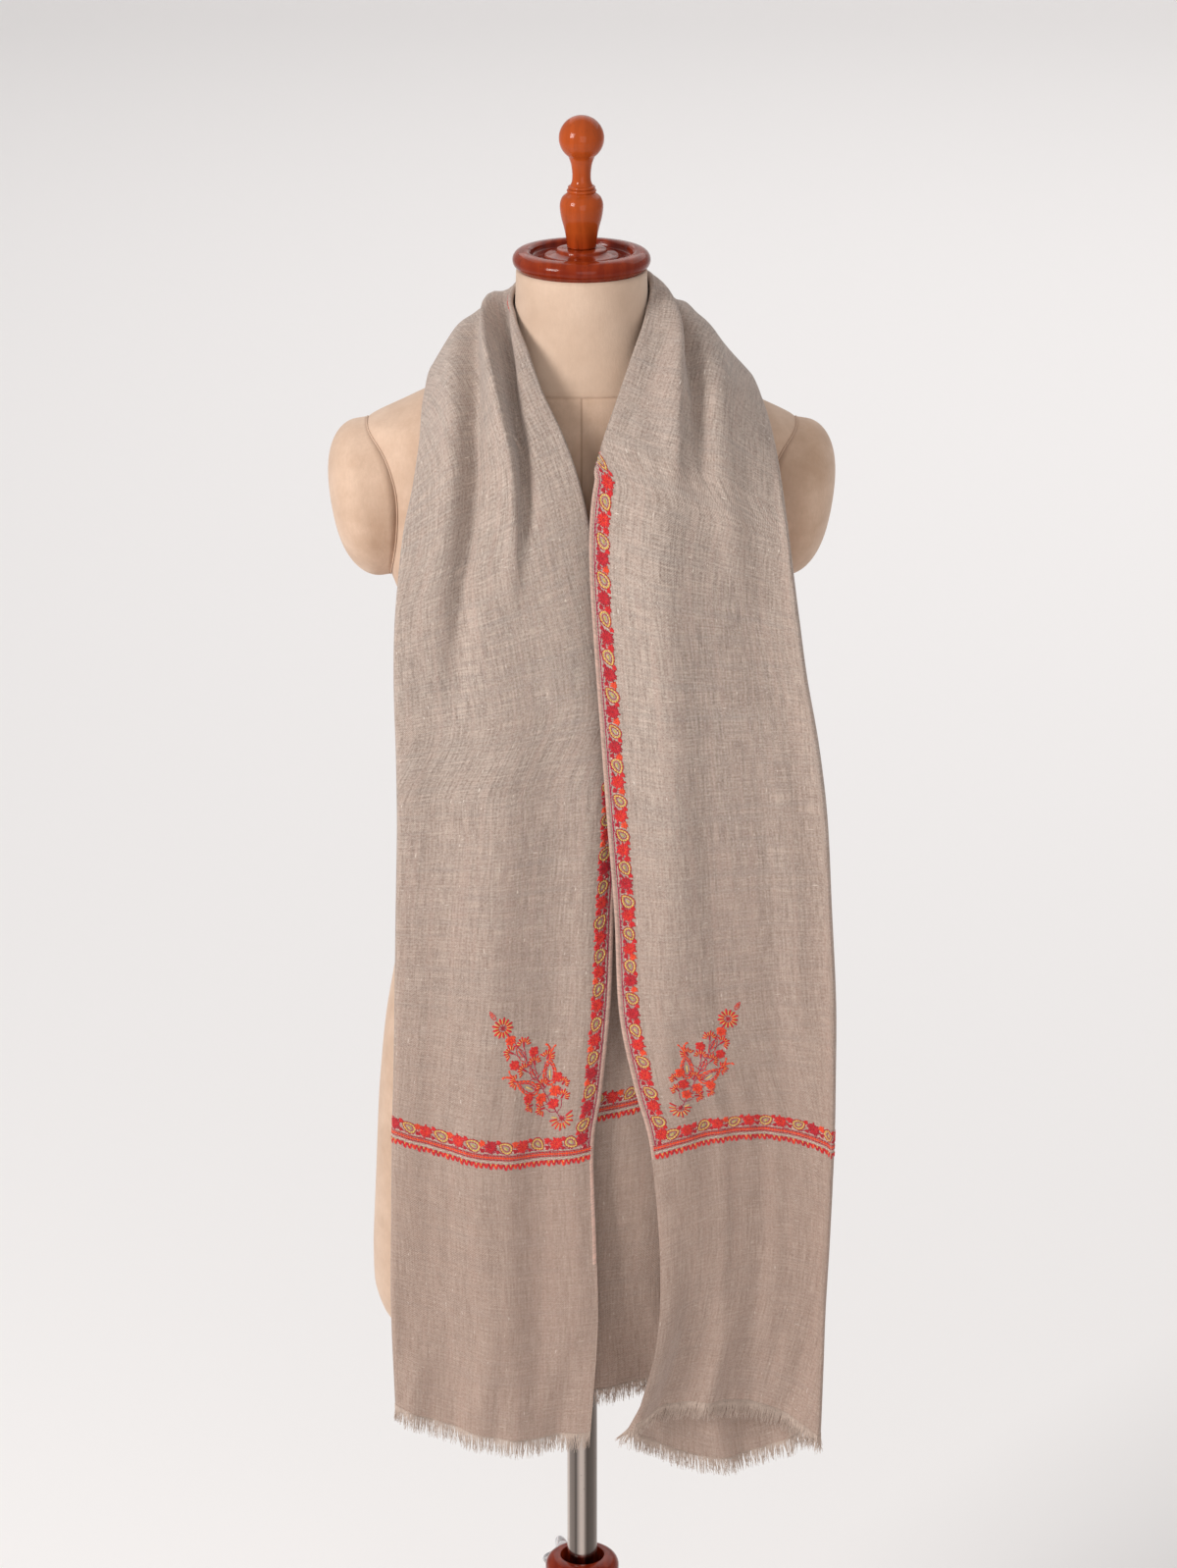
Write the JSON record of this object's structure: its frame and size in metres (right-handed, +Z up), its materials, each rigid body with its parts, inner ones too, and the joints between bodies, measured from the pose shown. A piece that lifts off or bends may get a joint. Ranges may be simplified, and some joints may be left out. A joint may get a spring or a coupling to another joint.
{
  "type": "pashmina shawl draped on a limbless dress form",
  "caption": "Long narrow fine wool shawl with embroidered border, hung round the neck of a limbless dress form whose pole slides in a turned wooden stand.",
  "frame": {"origin": "centre of the stand's flat underside, on the floor under the pole", "axes": "+Z up along the pole; -Y is the front of the form; +X is to the right of someone who faces it"},
  "size_m": [0.4119, 0.38, 1.566],
  "materials": {
    "pashmina": "fine matt heathered twill",
    "fringe": "loose frayed wool",
    "form_cloth": "tight matt linen jersey",
    "mahogany": "gloss lacquer",
    "chrome": "polished",
    "clear_plastic": "clear moulded"
  },
  "bodies": {
    "stand": {"stand_base": "mahogany", "stand_post": "mahogany"},
    "knob": {"clamp_knob": "clear_plastic"},
    "form": {"pole": "chrome", "form_body": "form_cloth", "cap_left": "form_cloth", "cap_right": "form_cloth", "neck_disc": "mahogany", "finial": "mahogany", "shawl_collar": "pashmina", "shawl_left_front": "pashmina", "shawl_left_back": "pashmina", "shawl_right_front": "pashmina", "shawl_right_back": "pashmina", "fringe_left_front": "fringe", "fringe_left_back": "fringe", "fringe_right_front": "fringe", "fringe_right_back": "fringe"}
  },
  "joints": [
    {"name": "height_slide", "type": "slide", "parent": "stand", "child": "form", "axis": [0, 0, 1], "range_m": [-0.07, 0.13]},
    {"name": "knob_turn", "type": "hinge", "parent": "stand", "child": "knob", "pos_m": [0, 0, 0.272], "axis": [-0.309, 0.9511, 0], "continuous": true}
  ]
}
